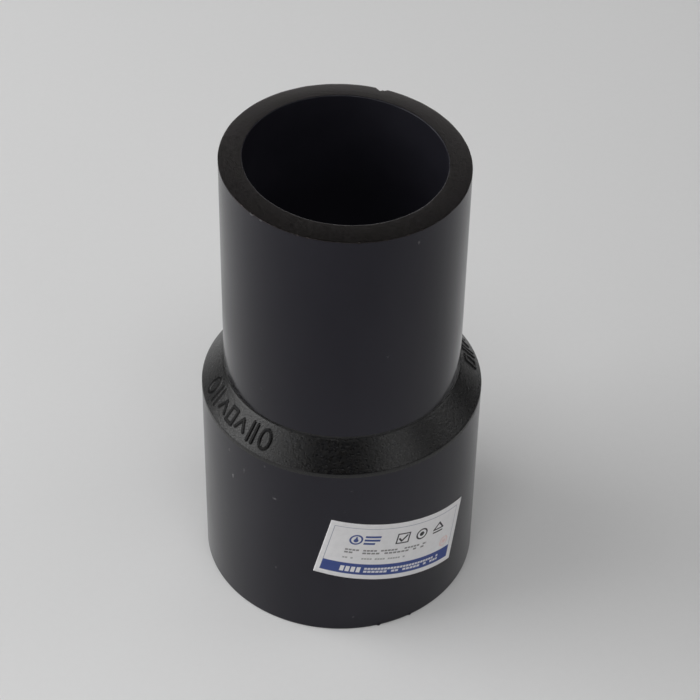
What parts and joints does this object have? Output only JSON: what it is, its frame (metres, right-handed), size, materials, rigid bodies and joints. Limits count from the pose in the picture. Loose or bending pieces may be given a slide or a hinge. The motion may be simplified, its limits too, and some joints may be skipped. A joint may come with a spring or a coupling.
{
  "type": "concentric reducer",
  "caption": "Butt-fusion pipe reducer in black polyethylene: a thick-walled large spigot, a short conical shoulder and a smaller spigot on one axis, with a paper label.",
  "frame": {"origin": "centre of the large end face, on the pipe axis", "axes": "+Z along the pipe axis from the large end to the small end; the label faces -Y, a little towards +X"},
  "size_m": [0.075, 0.0753, 0.1334],
  "materials": {
    "black_polyethylene": "satin moulded walls, sparkle-textured shoulder, matte machined end face",
    "label_paper": "smooth printed paper, blue band and grey frame line"
  },
  "bodies": {
    "root": {"reducer_body": "black_polyethylene", "certificate_label": "label_paper"}
  },
  "joints": []
}
